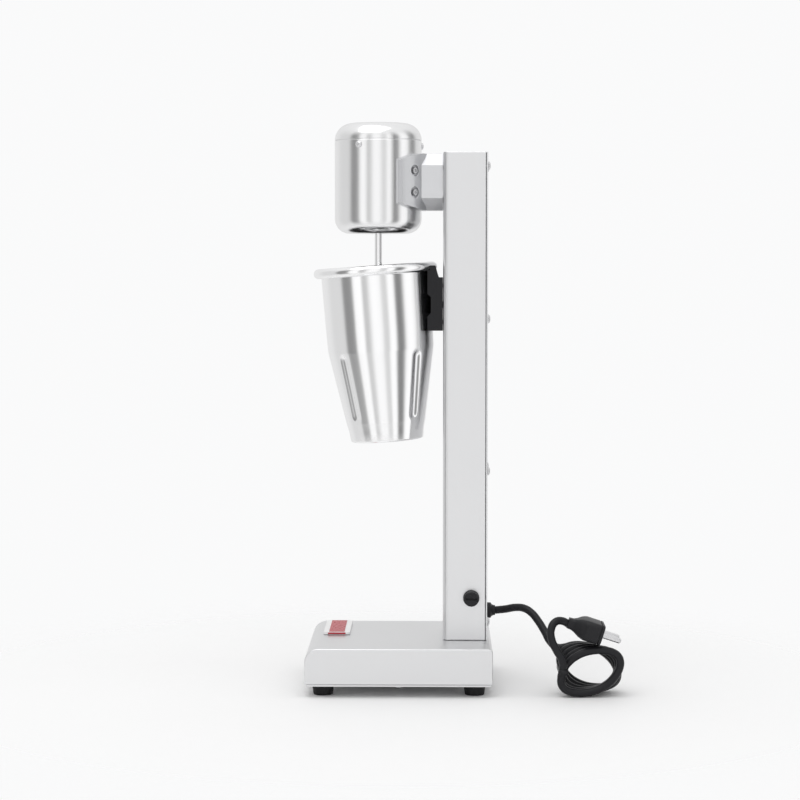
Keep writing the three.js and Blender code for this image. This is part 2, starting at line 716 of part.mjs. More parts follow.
piece("motor_bracket", motorBracket(), CAST, motor);
for (const [place, angle, z] of bracketScrewPlaces) {
  const seat = MOTOR_RADIUS + GAP + POCKET_FLOOR + GAP;
  const bracketScrew = cut(
    screw(BRACKET_SCREW_RADIUS, 7, BRACKET_SCREW_HEAD, 3.4),
    rod(1.6, 1.4, 4, 6),
  ).translate(0, 0, seat);
  piece(`bracket_screw_${place}`, radial(bracketScrew, angle, z), SCREW, motor);
}
bracketBoltHeights.forEach((z, i) => {
  const shank = BRACKET_BOLT_LENGTH + COLUMN_SHEET + GAP - 1;
  const bolt = alongY(screw(BRACKET_BOLT_RADIUS, shank, 5, 4));
  piece(`bracket_bolt_${["lower", "upper"][i]}`, bolt, SCREW)
    .position.set(0, COLUMN_INNER_FRONT + GAP, z);
});

// ---------------------------------------------------------------- motor head

const capScrewAngles = Array.from({ length: CAP_SCREWS }, (_, i) => CAP_SCREW_ANGLE + (360 / CAP_SCREWS) * i);
const radialScrewHole = (angle) =>
  radial(
    rod(CAP_SCREW_RADIUS + GAP, SKIRT_RADIUS - 4, MOTOR_RADIUS + 2, SMALL_ROUND),
    angle,
    CAP_SCREW_Z,
  );

function motorHousing() {
  const round = MOTOR_BOTTOM_ROUND;
  const lower = MOTOR_BOTTOM + round;
  const nearAxis = SHAFT_RADIUS + 3;
  const shell = turned(
    [
      [nearAxis, MOTOR_BOTTOM],
      ...arc(MOTOR_RADIUS - round, lower, round, -90, 0, 5),
      [MOTOR_RADIUS, SEAM_Z],
      [MOTOR_BORE, SEAM_Z],
      ...arc(MOTOR_RADIUS - round, lower, round - MOTOR_WALL, 0, -90, 3),
      [BOSS_RADIUS, MOTOR_BOTTOM + MOTOR_WALL],
      [BOSS_RADIUS, LOWER_BEARING_Z + BEARING_WIDTH],
      [BEARING_RADIUS + GAP, LOWER_BEARING_Z + BEARING_WIDTH],
      [BEARING_RADIUS + GAP, LOWER_BEARING_Z - GAP],
      [nearAxis, LOWER_BEARING_Z - GAP],
    ],
    BIG_ROUND,
  );
  const screwHoles = bracketScrewPlaces.map(([, angle, z]) =>
    radial(
      rod(BRACKET_SCREW_RADIUS + GAP, MOTOR_BORE - 1, MOTOR_RADIUS + 1, SMALL_ROUND),
      angle,
      z,
    ),
  );
  return cut(
    shell,
    ...screwHoles,
    ...capScrewAngles.map(radialScrewHole),
    frontHole(WIRE_HOLE_RADIUS, 0, BRACKET_Z, MOTOR_BORE - 2, MOTOR_RADIUS + 1),
  );
}

function motorCap() {
  const seam = SEAM_Z + GAP;
  const round = MOTOR_TOP - seam;
  const skirtInner = SKIRT_RADIUS - MOTOR_WALL;
  const crown = MOTOR_RADIUS - round;
  const innerRound = round - MOTOR_WALL;
  const seatTop = UPPER_BEARING_Z + BEARING_WIDTH + GAP;
  const cap = turned(
    [
      [0, MOTOR_TOP],
      ...arc(crown, seam, round, 90, 0, 6),
      [SKIRT_RADIUS, seam],
      [SKIRT_RADIUS, SEAM_Z - SKIRT_DEPTH],
      [skirtInner, SEAM_Z - SKIRT_DEPTH],
      [skirtInner, seam],
      ...arc(crown, seam, innerRound, 10, 90, 3),
      [BOSS_RADIUS, MOTOR_TOP - MOTOR_WALL],
      [BOSS_RADIUS, UPPER_BEARING_Z],
      [BEARING_RADIUS + GAP, UPPER_BEARING_Z],
      [BEARING_RADIUS + GAP, seatTop],
      [SHAFT_BORE, seatTop],
      [SHAFT_BORE, SHAFT_TOP + 1],
      [0, SHAFT_TOP + 1],
    ],
    BIG_ROUND,
  );
  return cut(cap, ...capScrewAngles.map(radialScrewHole));
}

piece("motor_housing", motorHousing(), STEEL, motor);
piece("motor_cap", motorCap(), STEEL, motor);
capScrewAngles.forEach((angle, i) => {
  const capScrew = screw(CAP_SCREW_RADIUS, 5, CAP_SCREW_HEAD, 1.6).translate(0, 0, MOTOR_RADIUS + GAP);
  piece(`cap_screw_${i + 1}`, radial(capScrew, angle, CAP_SCREW_Z), SCREW, motor);
});

const STATOR_BORE = ROTOR_RADIUS + ROTOR_AIR_GAP;
const COMMUTATOR_Z = STATOR_TOP + COIL_LENGTH + 2;
const BRUSH_Z = COMMUTATOR_Z + COMMUTATOR_LENGTH / 2;
const FAN_Z = STATOR_Z - COIL_LENGTH - 5;

function stator() {
  const outer = MOTOR_BORE - GAP;
  const laminations = ring(STATOR_BORE, outer, STATOR_Z, STATOR_TOP, BIG_ROUND);
  const reliefs = bracketScrewPlaces.map(([, angle, z]) =>
    radial(rod(BRACKET_SCREW_RADIUS + 1, outer - 4, outer + 2, SMALL_ROUND), angle, z),
  );
  return cut(laminations, ...reliefs);
}

function rotorCore() {
  return turned(
    [
      [SHAFT_BORE, STATOR_Z - COIL_LENGTH],
      [COIL_RADIUS, STATOR_Z - COIL_LENGTH],
      [COIL_RADIUS, STATOR_Z],
      [ROTOR_RADIUS, STATOR_Z],
      [ROTOR_RADIUS, STATOR_TOP],
      [COIL_RADIUS, STATOR_TOP],
      [COIL_RADIUS, STATOR_TOP + COIL_LENGTH],
      [SHAFT_BORE, STATOR_TOP + COIL_LENGTH],
    ],
    MID_ROUND,
  );
}

function motorShaft() {
  const socket = SPINDLE_THREAD_RADIUS + GAP;
  return turned(
    [
      [0, SHAFT_TOP],
      [SHAFT_RADIUS, SHAFT_TOP],
      [SHAFT_RADIUS, SHAFT_BOTTOM],
      [socket, SHAFT_BOTTOM],
      [socket, SHAFT_BOTTOM + SPINDLE_THREAD + 1],
      [0, SHAFT_BOTTOM + SPINDLE_THREAD + 1],
    ],
    MID_ROUND,
  );
}

function coolingFan() {
  const blades = Array.from({ length: FAN_BLADES }, (_, i) =>
    box(7, FAN_RADIUS - 0.5, -0.6, 0.6, FAN_Z + 1, FAN_Z + 4.4).rotateZ((2 * Math.PI * i) / FAN_BLADES),
  );
  return join(
    ring(SHAFT_BORE, FAN_RADIUS, FAN_Z, FAN_Z + 1.4, MID_ROUND),
    ring(SHAFT_BORE, 8, FAN_Z + 0.4, FAN_Z + 4.4, MID_ROUND),
    ...blades,
  );
}

// A brush in its holder, on a post that stands on the stator.
function brush(side) {
  const half = BRUSH_SIZE / 2;
  const inner = COMMUTATOR_RADIUS + GAP;
  const outer = MOTOR_BORE - BRUSH_CLEAR;
  const arm = box(inner, outer, -half, half, BRUSH_Z - half, BRUSH_Z + half);
  const post = box(outer - BRUSH_POST, outer, -half, half, STATOR_TOP + GAP, BRUSH_Z);
  return join(arm, post).rotateZ(side < 0 ? Math.PI : 0);
}

piece("stator", stator(), IRON, motor);
piece("rotor_core", rotorCore(), COPPER, motor);
piece("motor_shaft", motorShaft(), SCREW, motor);
const commutatorTop = COMMUTATOR_Z + COMMUTATOR_LENGTH;
const commutator = ring(SHAFT_BORE, COMMUTATOR_RADIUS, COMMUTATOR_Z, commutatorTop, MID_ROUND);
piece("commutator", commutator, COPPER, motor);
piece("brush_left", brush(-1), CARBON, motor);
piece("brush_right", brush(1), CARBON, motor);
for (const [name, z] of [["bearing_lower", LOWER_BEARING_Z], ["bearing_upper", UPPER_BEARING_Z]]) {
  piece(name, ring(SHAFT_BORE, BEARING_RADIUS, z, z + BEARING_WIDTH, MID_ROUND), SCREW, motor);
}
piece("cooling_fan", coolingFan(), BLACK, motor);

// ---------------------------------------------------------------- spindle and agitator

function spindle() {
  const top = SHAFT_BOTTOM - GAP;
  return turned(
    [
      [0, AGITATOR_Z + 2],
      [SPINDLE_RADIUS, AGITATOR_Z + 2],
      [SPINDLE_RADIUS, top],
      [SPINDLE_THREAD_RADIUS, top],
      [SPINDLE_THREAD_RADIUS, top + SPINDLE_THREAD],
      [0, top + SPINDLE_THREAD],
    ],
    MID_ROUND,
  );
}

function agitator() {
  const socket = SPINDLE_RADIUS + GAP;
  return turned(
    [
      [0, AGITATOR_Z - 3],
      [AGITATOR_HUB_RADIUS, AGITATOR_Z - 3],
      [AGITATOR_HUB_RADIUS, AGITATOR_Z - 1],
      [AGITATOR_RADIUS, AGITATOR_Z - 1],
      [AGITATOR_RADIUS, AGITATOR_Z + 1],
      [AGITATOR_HUB_RADIUS, AGITATOR_Z + 1],
      [AGITATOR_HUB_RADIUS, AGITATOR_Z + AGITATOR_HUB],
      [socket, AGITATOR_Z + AGITATOR_HUB],
      [socket, AGITATOR_Z + 2 - GAP],
      [0, AGITATOR_Z + 2 - GAP],
    ],
    MID_ROUND,
  );
}

piece("spindle", spindle(), STEEL, motor);
piece("agitator", agitator(), STEEL, motor);

// ---------------------------------------------------------------- cup

// Outer wall of the cup from the middle of its floor up to the rim's root, grown by `extra`.
function cupWall(extra) {
  return [
    [0, -extra],
    [CUP_FOOT_RADIUS - 3 + extra, -extra],
    [CUP_FOOT_RADIUS + extra, 2.5 - extra],
    [CUP_HEEL_RADIUS + extra, CUP_HEEL_HEIGHT],
    [CUP_BREAK_RADIUS + extra, CUP_BREAK_HEIGHT],
    [CUP_NECK_RADIUS + extra, CUP_HEIGHT - RIM_DEPTH - extra],
  ];
}

function cup() {
  const rimRoot = CUP_HEIGHT - RIM_DEPTH;
  const inside = cupWall(-CUP_WALL).reverse();
  return turned(
    [
      ...cupWall(0),
      [RIM_RADIUS - 0.8, rimRoot],
      [RIM_RADIUS, rimRoot + 1.5],
      [RIM_RADIUS - 1.2, CUP_HEIGHT - 2.2],
      [RIM_RADIUS - 3.6, CUP_HEIGHT],
      [CUP_NECK_RADIUS, CUP_HEIGHT - 0.6],
      ...inside,
    ],
    BIG_ROUND,
  );
}

// Everything that the cup fills, with a clearance round it, in the row frame.
function cupRoom(clearance) {
  const rimRoot = CUP_HEIGHT - RIM_DEPTH;
  return turned(
    [
      ...cupWall(clearance),
      [RIM_RADIUS + clearance, rimRoot - clearance],
      [RIM_RADIUS + clearance, CUP_HEIGHT + 5],
      [0, CUP_HEIGHT + 5],
    ],
    BIG_ROUND,
  ).rotateX(TILT).translate(0, CUP_Y, CUP_Z);
}

const cupMesh = piece("cup", cup(), STEEL);
cupMesh.position.set(0, CUP_Y, CUP_Z);
cupMesh.rotation.x = TILT;

// ---------------------------------------------------------------- cup holder and switch

function cupHolder() {
  const front = HOLDER_FRONT;
  const recess = front + HOLDER_RECESS;
  const low = HOLDER_BOTTOM;
  const recessLow = low + HOLDER_ARM;
  const recessHigh = recessLow + HOLDER_RECESS_HEIGHT;
  const step = CUP_TOP - HOLDER_STEP;
  const hookFoot = HOLDER_REAR - HOOK_WIDTH;
  const hookTip = COLUMN_FRONT - RIM_CLEAR - 1;
  const profile = polygon([
    [HOLDER_REAR, low],
    [front, low],
    [front, recessLow],
    [recess, recessLow + HOLDER_RECESS],
    [recess, recessHigh - HOLDER_RECESS],
    [front, recessHigh],
    [front, CUP_TOP],
    [hookTip, CUP_TOP],
    [hookFoot, step],
    [HOLDER_REAR, step],
  ]);
  return cut(
    sideSlab(profile, HOLDER_WIDTH),
    cupRoom(GAP),
    frontHole(PLUNGER_RADIUS + 2 * GAP, 0, SWITCH_Z, front - 1, HOLDER_REAR + 1),
    ...holderScrewHeights.map((z) =>
      frontHole(HOLDER_SCREW_RADIUS + GAP, 0, z, HOLDER_REAR - HOLDER_SCREW_GRIP, HOLDER_REAR + 1),
    ),
  );
}

// The tip stops short of the cup's wall, which leans with the cup.
function plunger() {
  const tip = cupRearAt(SWITCH_Z - PLUNGER_RADIUS) + PLUNGER_RADIUS * Math.tan(TILT) + GAP;
  return join(
    alongY(rod(PLUNGER_RADIUS, tip, SWITCH_FRONT + 2, MID_ROUND)),
    alongY(rod(PLUNGER_COLLAR_RADIUS, PLUNGER_COLLAR_Y, PLUNGER_COLLAR_Y + 1.5, MID_ROUND)),
  ).translate(0, 0, SWITCH_Z);
}

// A switch case with two ears that stand against the column's front wall.
function switchBody() {
  const half = SWITCH_WIDTH / 2;
  const tall = SWITCH_HEIGHT / 2;
  const rear = SWITCH_FRONT + SWITCH_DEPTH;
  const whole = box(-half, half, COLUMN_INNER_FRONT + GAP, rear, SWITCH_Z - tall, SWITCH_Z + tall);
  const between = half - 2.5;
  return cut(
    whole,
    box(-between, between, COLUMN_INNER_FRONT - 1, SWITCH_FRONT, SWITCH_Z - tall - 1, SWITCH_Z + tall + 1),
    frontHole(PLUNGER_RADIUS + 2 * GAP, 0, SWITCH_Z, SWITCH_FRONT - 1, SWITCH_FRONT + 4),
  );
}

piece("cup_holder", cupHolder(), BLACK);
holderScrewHeights.forEach((z, i) => {
  const grip = HOLDER_SCREW_GRIP + COLUMN_SHEET + GAP - 1;
  const holderScrew = alongY(screw(HOLDER_SCREW_RADIUS, grip, 3.8, 2.4));
  piece(`holder_screw_${["lower", "upper"][i]}`, holderScrew, SCREW)
    .position.set(0, COLUMN_INNER_FRONT + GAP, z);
});
piece("switch_plunger", plunger(), BLACK);
piece("switch_body", switchBody(), BLACK);

// ---------------------------------------------------------------- fuse holder

const FUSE_FACE = COLUMN_SIDE + GAP + 2;

function fuseHolder() {
  return turned(
    [
      [FUSE_STEM_RADIUS + GAP, COLUMN_SIDE - FUSE_STEM_LENGTH],
      [FUSE_STEM_RADIUS + GAP, FUSE_FACE],
      [FUSE_FLANGE_RADIUS, FUSE_FACE],
      [FUSE_FLANGE_RADIUS, COLUMN_SIDE + GAP],
      [FUSE_BODY_RADIUS, COLUMN_SIDE + GAP],
      [FUSE_BODY_RADIUS, COLUMN_SIDE - FUSE_BODY_LENGTH],
      [1, COLUMN_SIDE - FUSE_BODY_LENGTH],
      [1, COLUMN_SIDE - FUSE_STEM_LENGTH],
    ],
    MID_ROUND,
  );
}

function fuseCap() {
  const face = FUSE_FACE + GAP;
  const top = face + FUSE_CAP_LENGTH - GAP;
  const cap = turned(
    [
      [0, COLUMN_SIDE - FUSE_STEM_LENGTH + 1],
      [FUSE_STEM_RADIUS, COLUMN_SIDE - FUSE_STEM_LENGTH + 1],
      [FUSE_STEM_RADIUS, face],
      [FUSE_CAP_RADIUS, face],
      [FUSE_CAP_RADIUS, top - 1],
      [FUSE_CAP_RADIUS - 1, top],
      [0, top],
    ],
    MID_ROUND,
  );
  return cut(cap, box(-0.8, 0.8, -FUSE_CAP_RADIUS + 2, FUSE_CAP_RADIUS - 2, top - 1.6, top + 1));
}

piece("fuse_holder", alongX(fuseHolder()), BLACK).position.set(0, FUSE_Y, FUSE_Z);
piece("fuse_cap", alongX(fuseCap()), BLACK).position.set(0, FUSE_Y, FUSE_Z);

// ---------------------------------------------------------------- mains lead

function cableGland() {
  const seat = COLUMN_REAR + GAP;
  const flangeEnd = seat + GLAND_FLANGE;
  return turned(
    [
      [0, seat - GLAND_THREAD],
      [GLAND_THREAD_RADIUS, seat - GLAND_THREAD],
      [GLAND_THREAD_RADIUS, seat],
      [GLAND_RADIUS, seat],
      [GLAND_RADIUS, flangeEnd - 0.8],
      [GLAND_RADIUS - 0.8, flangeEnd],
      [CORD_RADIUS + 1.6, flangeEnd],
      [CORD_RADIUS + 0.9, GLAND_END],
      [0, GLAND_END],
    ],
    MID_ROUND,
  );
}

// The uncoiled stretch of the lead: out of the gland, over a low hump and down to the hank.
const CORD_ROUTE = [
  [0, 0, GLAND_Z],
  [3, 9, 66.9],
  [8, 17.5, 69.1],
  [13, 25, 69.2],
  [18, 31.5, 66],
  [23.5, 37.5, 59.3],
  [30, 43, 51],
  [37, 48, 42.6],
  [44.8, 53.1, 34.1],
].map(([x, y, z]) => new THREE.Vector3(x, GLAND_END + GAP + y, z));

function powerCord() {
  const section = new THREE.Shape();
  section.absarc(0, 0, CORD_RADIUS, 0, 2 * Math.PI);
  const outline = new THREE.Shape(section.getPoints(CORD_SIDES).slice(0, CORD_SIDES));
  return new THREE.ExtrudeGeometry(outline, {
    steps: CORD_STEPS,
    extrudePath: new THREE.CatmullRomCurve3(CORD_ROUTE, false, "centripetal"),
  });
}

// Outer shape of the tied bundle: an outline with round ends.
function cordHank() {
  const outline = new THREE.Shape();
  const half = HANK_STRAIGHT / 2;
  outline.moveTo(-half, -HANK_RADIUS);
  outline.lineTo(half, -HANK_RADIUS);
  outline.absarc(half, 0, HANK_RADIUS, -Math.PI / 2, Math.PI / 2);
  outline.lineTo(-half, HANK_RADIUS);
  outline.absarc(-half, 0, HANK_RADIUS, Math.PI / 2, Math.PI * 1.5);
  return sideSlab(outline, HANK_THICKNESS);
}

// The plug lies along +Y before it is sloped: cord side at -Y, pins at +Y.
function plug() {
  const wide = PLUG_WIDTH / 2;
  const tall = PLUG_HEIGHT / 2;
  const half = PLUG_LENGTH / 2;
  const outline = polygon([
    [-half - 6, -tall * 0.4],
    [-half + 7, -tall],
    [half, -tall],
    [half, tall],
    [-half + 7, tall],
    [-half - 6, tall * 0.4],
  ]);
  const plan = polygon([
    [-wide * 0.3, -half - 6],
    [wide * 0.3, -half - 6],
    [wide, -half + 8],
    [wide, half],
    [-wide, half],
    [-wide, -half + 8],
  ]);
  const planSolid = new THREE.ExtrudeGeometry(plan, {
    depth: PLUG_HEIGHT,
    bevelEnabled: false,
  }).translate(0, 0, -tall);
  const pins = [-0.5, 0.5].map((side) =>
    alongY(rod(PLUG_PIN_RADIUS, half - 2, half + PLUG_PIN_LENGTH, SMALL_ROUND))
      .translate(side * PLUG_PIN_PITCH, 0, 0),
  );
  return join(common(sideSlab(outline, PLUG_WIDTH), planSolid), ...pins)
    .rotateX(-SLOPE);
}

piece("cable_gland", alongY(cableGland()), BLACK).position.set(0, 0, GLAND_Z);
piece("power_cord", powerCord(), BLACK);
piece("cord_hank", cordHank(), BLACK).position.set(HANK_X, BASE_REAR + HANK_BEHIND, HANK_Z);
piece("plug", plug(), BLACK).position.set(PLUG_X, BASE_REAR + PLUG_BEHIND, PLUG_Z);

export default mixer;
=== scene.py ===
"""A single-spindle milkshake mixer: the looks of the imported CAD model.

Blender works in metres with +Z up and the front at -Y. Sizes here are in millimetres.
"""

import json
import math

import bmesh
import bpy
from mathutils import Matrix, Vector


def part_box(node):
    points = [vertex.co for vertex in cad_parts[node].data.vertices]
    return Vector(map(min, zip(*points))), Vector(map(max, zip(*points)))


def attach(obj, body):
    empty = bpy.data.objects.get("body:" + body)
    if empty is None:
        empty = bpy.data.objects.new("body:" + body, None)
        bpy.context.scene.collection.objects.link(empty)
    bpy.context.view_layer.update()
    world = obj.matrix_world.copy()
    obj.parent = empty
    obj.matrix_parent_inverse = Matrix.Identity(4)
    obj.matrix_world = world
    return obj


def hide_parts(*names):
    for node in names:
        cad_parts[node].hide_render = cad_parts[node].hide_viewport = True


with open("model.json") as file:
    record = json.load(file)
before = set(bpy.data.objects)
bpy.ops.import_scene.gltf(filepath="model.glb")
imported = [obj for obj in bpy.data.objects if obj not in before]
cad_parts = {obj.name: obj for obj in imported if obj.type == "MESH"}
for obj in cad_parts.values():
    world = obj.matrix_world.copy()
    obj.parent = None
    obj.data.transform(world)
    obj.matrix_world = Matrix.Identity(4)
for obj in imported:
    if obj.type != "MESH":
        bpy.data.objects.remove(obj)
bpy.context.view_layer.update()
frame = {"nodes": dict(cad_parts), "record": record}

MM = 0.001

# ---------------------------------------------------------------- sizes, in millimetres

COLUMN_FOLD = 4.6
FRONT_FOLD = 12.0
REAR_FOLD = 3.0
MOTOR_BOTTOM_ROUND = 13.0
CAP_ROUND = 15.2
CAP_SCREW_ANGLES = (-24.7, 95.3, 215.3)
SPINDLE_THREAD = 9
SPINDLE_THREAD_RADIUS = 2.2
CUP_TILT = math.radians(4)
CUP_HEIGHT = 157.0
CUP_WALL = 0.9
CUP_PLACE = (0, -11.25, 219.48)  # middle of the cup's foot
FOOT_RADIUS = 32.0
HEEL_RADIUS, HEEL_HEIGHT = 35.5, 17.0
BREAK_RADIUS, BREAK_HEIGHT = 47.4, 82.0
NECK_RADIUS = 48.8
RIM_RADIUS = 55.0
RIM_ROLL = 4.4
CUP_ROWS = 44
FLUTE_ANGLES = [math.radians(a) for a in (-45, 45, 135, 225)]
FLUTE_BOTTOM, FLUTE_TOP = 17.5, 81.5
FLUTE_HALF_WIDTH = 6.4
FLUTE_DEPTH = 2.0
CORD_RADIUS = 3.45
PLUG_SIZE = (36.0, 25.0, 18.0)
PLUG_PITCH = 19.0
PLUG_SLOPE = 18
PLUG_MIDDLE_Y = 165.8
PLUG_NECK_Z = 62.7
HANK_TURNS = 4.8
HANK_START = math.radians(118)
HANK_STRAIGHT = 12.0
HANK_PITCH = 7.1
HANK_STEPS = 20
HANK_LEAN = 0.5
HANK_SWAY = 0.68


# ---------------------------------------------------------------- mesh helpers


def mesh_object(name, bm, material, smooth_angle=35):
    """A named object from a bmesh, smooth except over edges sharper than smooth_angle degrees."""
    bmesh.ops.remove_doubles(bm, verts=bm.verts, dist=1e-7)
    bmesh.ops.recalc_face_normals(bm, faces=bm.faces)
    limit = math.radians(smooth_angle)
    for face in bm.faces:
        face.smooth = True
    for edge in bm.edges:
        edge.smooth = len(edge.link_faces) != 2 or edge.calc_face_angle(0) < limit
    mesh = bpy.data.meshes.new(name)
    bm.to_mesh(mesh)
    bm.free()
    mesh.materials.append(material)
    piece = bpy.data.objects.new(name, mesh)
    bpy.context.collection.objects.link(piece)
    return piece


def lathe(profile, steps=96, place=None, radius_at=None):
    """A bmesh turned about Z from (radius, height) points in millimetres."""
    bm = bmesh.new()
    rows = []
    for radius, height in profile:
        if radius < 1e-6:
            rows.append([bm.verts.new((0, 0, height * MM))])
            continue
        row = []
        for k in range(steps):
            angle = 2 * math.pi * k / steps
            r = radius - (radius_at(angle, height) if radius_at else 0)
            row.append(bm.verts.new((r * MM * math.cos(angle), r * MM * math.sin(angle), height * MM)))
        rows.append(row)
    for low, high in zip(rows, rows[1:]):
        for k in range(steps):
            corners = [low[k % len(low)], low[(k + 1) % len(low)]]
            corners += [high[(k + 1) % len(high)], high[k % len(high)]]
            distinct = list(dict.fromkeys(corners))
            if len(distinct) > 2:
                bm.faces.new(distinct)
    if place is not None:
        bmesh.ops.transform(bm, matrix=place, verts=bm.verts)
    return bm


def arc(cx, cz, radius, start, end, steps=8):
    """Points of an arc, angles in degrees."""
    angles = [math.radians(start + (end - start) * k / steps) for k in range(steps + 1)]
    return [(cx + radius * math.cos(a), cz + radius * math.sin(a)) for a in angles]


def rounded(x0, x1, y0, y1, radius, steps=6):
    return [
        *arc(x1 - radius, y1 - radius, radius, 0, 90, steps),
        *arc(x0 + radius, y1 - radius, radius, 90, 180, steps),
        *arc(x0 + radius, y0 + radius, radius, 180, 270, steps),
        *arc(x1 - radius, y0 + radius, radius, 270, 360, steps),
    ]


def slab(outline, low, high, axis):
    """A bmesh of a plane outline in millimetres, pushed from low to high along X, Y or Z."""
    to_point = {
        "X": lambda u, v, w: (w, u, v),
        "Y": lambda u, v, w: (u, w, v),
        "Z": lambda u, v, w: (u, v, w),
    }[axis]
    bm = bmesh.new()
    ends = [
        [bm.verts.new([c * MM for c in to_point(u, v, w)]) for u, v in outline] for w in (low, high)
    ]
    count = len(outline)
    for k in range(count):
        n = (k + 1) % count
        bm.faces.new([ends[0][k], ends[0][n], ends[1][n], ends[1][k]])
    bm.faces.new(ends[0])
    bm.faces.new(ends[1])
    return bm


def bevelled(piece, width, segments=3, angle=30):
    """Rounds a piece's sharp edges by a width in millimetres."""
    bevel = piece.modifiers.new("edge", "BEVEL")
    bevel.width = width * MM
    bevel.segments = segments
    bevel.limit_method = "ANGLE"
    bevel.angle_limit = math.radians(angle)
    bevel.harden_normals = True
    return piece


def refined(node, material, width=0.0, smooth_angle=35):
    """A finer copy of a CAD node's mesh, with smooth rounds and eased edges."""
    bm = bmesh.new()
    bm.from_mesh(frame["nodes"][node].data)
    piece = mesh_object(node + "_fine", bm, material, smooth_angle)
    if width:
        bevelled(piece, width, 2, 40)
    return piece


def in_place(piece, body, slot, *nodes):
    """Rides a piece on a body and lets it stand for CAD nodes; slot is not used."""
    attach(piece, body)
    if nodes:
        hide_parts(*nodes)
    return piece


def millimetres(node):
    """A node's lowest and highest corners, in millimetres."""
    low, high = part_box(node)
    return [c / MM for c in low], [c / MM for c in high]


# ---------------------------------------------------------------- materials

DULL = 0.22  # specular level of black and painted pieces
EVEN = (1, 1, 1)


def principled(name, colour, metallic, roughness, specular=0.5):
    """A plain material, before its grain is added."""
    material = bpy.data.materials.new(name)
    material.use_nodes = True
    shader = material.node_tree.nodes["Principled BSDF"]
    shader.inputs["Base Color"].default_value = (*colour, 1)
    shader.inputs["Metallic"].default_value = metallic
    shader.inputs["Roughness"].default_value = roughness
    shader.inputs["Specular IOR Level"].default_value = specular
    return material


def grain(material, scale, roughness, spread, bump, stretch=(1, 1, 1), tint=0.06):
    """Adds stretched noise that varies a material's colour, roughness and bump."""
    tree = material.node_tree
    new, link = tree.nodes.new, tree.links.new
    shader = tree.nodes["Principled BSDF"]
    where = new("ShaderNodeTexCoord")
    mapping = new("ShaderNodeMapping")
    mapping.inputs["Scale"].default_value = stretch
    noise = new("ShaderNodeTexNoise")
    noise.inputs["Scale"].default_value = scale
    noise.inputs["Detail"].default_value = 4
    link(where.outputs["Object"], mapping.inputs["Vector"])
    link(mapping.outputs["Vector"], noise.inputs["Vector"])
    rough = new("ShaderNodeMapRange")
    rough.inputs["To Min"].default_value = roughness - spread
    rough.inputs["To Max"].default_value = roughness + spread
    link(noise.outputs["Fac"], rough.inputs["Value"])
    link(rough.outputs["Result"], shader.inputs["Roughness"])
    wear = new("ShaderNodeTexNoise")
    wear.inputs["Scale"].default_value = 14
    wear.inputs["Detail"].default_value = 6
    link(where.outputs["Object"], wear.inputs["Vector"])
    shade = new("ShaderNodeMix")
    shade.data_type = "RGBA"
    base = shader.inputs["Base Color"].default_value[:]
    shade.inputs["A"].default_value = [c * (1 - tint) for c in base[:3]] + [1]
    shade.inputs["B"].default_value = [min(1, c * (1 + tint)) for c in base[:3]] + [1]
    link(wear.outputs["Fac"], shade.inputs["Factor"])
    link(shade.outputs["Result"], shader.inputs["Base Color"])
    relief = new("ShaderNodeBump")
    relief.inputs["Strength"].default_value = bump
    relief.inputs["Distance"].default_value = 0.0002
    link(noise.outputs["Fac"], relief.inputs["Height"])
    link(relief.outputs["Normal"], shader.inputs["Normal"])
    return material


TURNED = grain(
    principled("satin_steel", (0.86, 0.86, 0.865), 1, 0.2),
    900, 0.2, 0.05, 0.05, (1, 1, 0.03), 0.02,
)
SHEET = grain(
    principled("brushed_steel", (0.74, 0.742, 0.75), 1, 0.34),
    1400, 0.34, 0.06, 0.06, EVEN, 0.015,
)
POLISHED = grain(
    principled("polished_steel", (0.9, 0.9, 0.905), 1, 0.12),
    500, 0.12, 0.04, 0.02, (1, 1, 0.05), 0.02,
)
CAST = grain(
    principled("cast_aluminium", (0.70, 0.705, 0.72), 1, 0.45),
    1100, 0.45, 0.1, 0.25, EVEN, 0.06,
)
RUBBER = grain(
    principled("black_rubber", (0.012, 0.012, 0.013), 0, 0.6, DULL),
    700, 0.6, 0.1, 0.2, EVEN, 0.25,
)
PLASTIC = grain(
    principled("black_plastic", (0.016, 0.016, 0.018), 0, 0.42, DULL),
    1500, 0.42, 0.08, 0.3, EVEN, 0.2,
)
CORD_BLACK = grain(
    principled("cord_black", (0.014, 0.014, 0.016), 0, 0.34, DULL),
    600, 0.34, 0.07, 0.12, EVEN, 0.2,
)
SCREW = grain(
    principled("screw_steel", (0.72, 0.72, 0.73), 1, 0.28),
    900, 0.28, 0.08, 0.08, EVEN, 0.06,
)
WHITE_ENAMEL = grain(
    principled("badge_white", (0.82, 0.82, 0.82), 0, 0.3),
    500, 0.3, 0.04, 0.04, EVEN, 0.02,
)
RED_ENAMEL = grain(
    principled("badge_red", (0.42, 0.003, 0.018), 0, 0.28, DULL),
    500, 0.28, 0.04, 0.04, EVEN, 0.06,
)
IRON = grain(
    principled("iron", (0.3, 0.3, 0.31), 1, 0.55),
    900, 0.55, 0.1, 0.2, (1, 1, 6), 0.15,
)
COPPER = grain(
    principled("copper", (0.62, 0.3, 0.16), 1, 0.35),
    900, 0.35, 0.08, 0.15, (1, 1, 8), 0.15,
)

FINISHES = {
    "brushed_steel": SHEET,
    "satin_steel": TURNED,
    "polished_steel": POLISHED,
    "cast_aluminium": CAST,
    "black_rubber": RUBBER,
    "black_plastic": PLASTIC,
    "screw_steel": SCREW,
    "badge_red": RED_ENAMEL,
    "iron": IRON,
    "copper": COPPER,
}


def finish_cad_nodes():
    """Gives every CAD node its slot's finish."""
    slots = {part["node"]: part["material_slot"] for part in frame["record"]["subparts"]}
    for name, node in frame["nodes"].items():
        node.data.materials.clear()
        node.data.materials.append(FINISHES[slots[name]])


# ---------------------------------------------------------------- camera, light, floor


